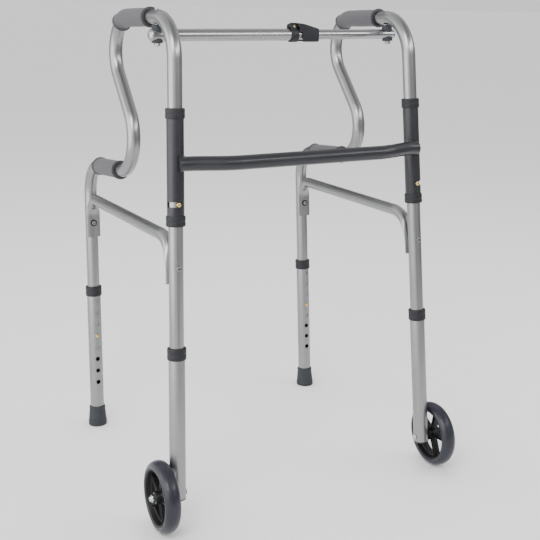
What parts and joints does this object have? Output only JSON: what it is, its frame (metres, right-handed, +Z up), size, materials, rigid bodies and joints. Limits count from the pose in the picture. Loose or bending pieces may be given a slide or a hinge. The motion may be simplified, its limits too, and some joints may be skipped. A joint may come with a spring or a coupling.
{
  "type": "walking frame",
  "caption": "Folding walking frame with two-level soft handles on each side, telescopic leg ends, front wheels and rear rubber tips.",
  "frame": {"origin": "on the floor, under the centre of the bounding box", "axes": "+Z up; -Y points to the front, the wheeled end; +X points to the right seen from the front looking along +Y"},
  "size_m": [0.6262, 0.5811, 0.8971],
  "materials": {
    "satin_aluminium": "satin, lengthwise drawing marks",
    "painted_tube": "semi-gloss dark grey powder coat",
    "collar_plastic": "moulded dark grey",
    "grip_foam": "soft matte closed-cell foam",
    "tip_rubber": "matte",
    "tyre_rubber": "smooth slate blue-grey",
    "hub_plastic": "moulded black",
    "zinc_steel": "zinc plated",
    "brass": "bright"
  },
  "bodies": {
    "front_frame": {"left_sleeve": "painted_tube", "right_sleeve": "painted_tube", "left_sleeve_top_collar": "collar_plastic", "right_sleeve_top_collar": "collar_plastic", "left_sleeve_bottom_collar": "collar_plastic", "right_sleeve_bottom_collar": "collar_plastic", "front_crossbar": "painted_tube"},
    "left_side": {"left_side_tube": "satin_aluminium", "left_upper_grip": "grip_foam", "left_lower_grip": "grip_foam", "left_brace": "satin_aluminium", "left_brace_front_screw": "zinc_steel", "left_brace_rear_washer": "collar_plastic", "left_brace_rear_screw": "zinc_steel", "left_bar_bolt": "zinc_steel", "left_bar_nut": "zinc_steel"},
    "left_front_leg": {"left_front_leg": "satin_aluminium", "left_front_leg_collar": "collar_plastic", "left_leg_end_plug": "collar_plastic", "left_axle_bolt": "zinc_steel", "left_axle_nut": "zinc_steel"},
    "left_rear_leg": {"left_rear_leg": "satin_aluminium", "left_rear_leg_collar": "collar_plastic", "left_rear_tip": "tip_rubber"},
    "left_wheel": {"left_wheel_hub": "hub_plastic", "left_tyre": "tyre_rubber"},
    "left_sleeve_button": {"left_sleeve_button": "brass"},
    "left_front_leg_button": {"left_front_leg_button": "brass"},
    "left_rear_leg_button": {"left_rear_leg_button": "brass"},
    "right_side": {"right_side_tube": "satin_aluminium", "right_upper_grip": "grip_foam", "right_lower_grip": "grip_foam", "right_brace": "satin_aluminium", "right_brace_front_screw": "zinc_steel", "right_brace_rear_washer": "collar_plastic", "right_brace_rear_screw": "zinc_steel", "right_bar_bolt": "zinc_steel", "right_bar_nut": "zinc_steel"},
    "right_front_leg": {"right_front_leg": "satin_aluminium", "right_front_leg_collar": "collar_plastic", "right_leg_end_plug": "collar_plastic", "right_axle_bolt": "zinc_steel", "right_axle_nut": "zinc_steel"},
    "right_rear_leg": {"right_rear_leg": "satin_aluminium", "right_rear_leg_collar": "collar_plastic", "right_rear_tip": "tip_rubber"},
    "right_wheel": {"right_wheel_hub": "hub_plastic", "right_tyre": "tyre_rubber"},
    "right_sleeve_button": {"right_sleeve_button": "brass"},
    "right_front_leg_button": {"right_front_leg_button": "brass"},
    "right_rear_leg_button": {"right_rear_leg_button": "brass"},
    "bar_outer": {"bar_outer_tube": "satin_aluminium", "clip_body": "collar_plastic", "clip_pin": "brass", "left_bar_spacer": "tip_rubber", "left_bar_washer": "tip_rubber"},
    "bar_inner": {"bar_inner_tube": "satin_aluminium", "right_bar_spacer": "tip_rubber", "right_bar_washer": "tip_rubber"},
    "clip_lever": {"clip_lever": "collar_plastic"}
  },
  "joints": [
    {"name": "left_fold", "type": "hinge", "parent": "front_frame", "child": "left_side", "pos_m": [-0.24553, -0.18838, 0.536], "axis": [-0.0286, -0.0837, -0.9961], "range_deg": [0, 28]},
    {"name": "left_front_leg_slide", "type": "slide", "parent": "left_side", "child": "left_front_leg", "axis": [-0.0286, -0.0837, -0.9961], "range_m": [-0.0762, 0.0762]},
    {"name": "left_rear_leg_slide", "type": "slide", "parent": "left_side", "child": "left_rear_leg", "axis": [-0.0071, -0.0671, -0.9977], "range_m": [-0.0762, 0.0762]},
    {"name": "left_wheel_spin", "type": "hinge", "parent": "left_front_leg", "child": "left_wheel", "pos_m": [-0.25912, -0.22815, 0.0625], "axis": [1, 0, 0], "continuous": true},
    {"name": "left_sleeve_button_press", "type": "slide", "parent": "left_side", "child": "left_sleeve_button", "axis": [0, 0.9965, -0.0837], "range_m": [0, 0.005], "stiffness_N_per_m": 400, "springref_m": -0.002},
    {"name": "left_front_leg_button_press", "type": "slide", "parent": "left_side", "child": "left_front_leg_button", "axis": [0, -0.9965, 0.0837], "range_m": [0, 0.005], "stiffness_N_per_m": 400, "springref_m": -0.002},
    {"name": "left_rear_leg_button_press", "type": "slide", "parent": "left_side", "child": "left_rear_leg_button", "axis": [0, 0.9977, -0.0671], "range_m": [0, 0.005], "stiffness_N_per_m": 400, "springref_m": -0.002},
    {"name": "right_fold", "type": "hinge", "parent": "front_frame", "child": "right_side", "pos_m": [0.24553, -0.18838, 0.536], "axis": [-0.0286, 0.0837, 0.9961], "range_deg": [0, 28]},
    {"name": "right_front_leg_slide", "type": "slide", "parent": "right_side", "child": "right_front_leg", "axis": [0.0286, -0.0837, -0.9961], "range_m": [-0.0762, 0.0762]},
    {"name": "right_rear_leg_slide", "type": "slide", "parent": "right_side", "child": "right_rear_leg", "axis": [0.0071, -0.0671, -0.9977], "range_m": [-0.0762, 0.0762]},
    {"name": "right_wheel_spin", "type": "hinge", "parent": "right_front_leg", "child": "right_wheel", "pos_m": [0.25912, -0.22815, 0.0625], "axis": [1, 0, 0], "continuous": true},
    {"name": "right_sleeve_button_press", "type": "slide", "parent": "right_side", "child": "right_sleeve_button", "axis": [0, 0.9965, -0.0837], "range_m": [0, 0.005], "stiffness_N_per_m": 400, "springref_m": -0.002},
    {"name": "right_front_leg_button_press", "type": "slide", "parent": "right_side", "child": "right_front_leg_button", "axis": [0, -0.9965, 0.0837], "range_m": [0, 0.005], "stiffness_N_per_m": 400, "springref_m": -0.002},
    {"name": "right_rear_leg_button_press", "type": "slide", "parent": "right_side", "child": "right_rear_leg_button", "axis": [0, 0.9977, -0.0671], "range_m": [0, 0.005], "stiffness_N_per_m": 400, "springref_m": -0.002},
    {"name": "bar_left_pivot", "type": "hinge", "parent": "left_side", "child": "bar_outer", "pos_m": [-0.23874, -0.0866, 0.85], "axis": [0.0286, 0.0837, 0.9961], "range_deg": [0, 28]},
    {"name": "bar_right_pivot", "type": "hinge", "parent": "right_side", "child": "bar_inner", "pos_m": [0.23874, -0.0866, 0.85], "axis": [0.0286, -0.0837, -0.9961], "range_deg": [0, 28]},
    {"name": "clip_lever_hinge", "type": "hinge", "parent": "bar_outer", "child": "clip_lever", "pos_m": [0.026, -0.0866, 0.8655], "axis": [0, -1, 0], "range_deg": [0, 60]}
  ],
  "couplings": [
    {"joint": "right_fold", "follows": "left_fold", "ratio": 1},
    {"joint": "bar_left_pivot", "follows": "left_fold", "ratio": 1},
    {"joint": "bar_right_pivot", "follows": "left_fold", "ratio": 1}
  ]
}
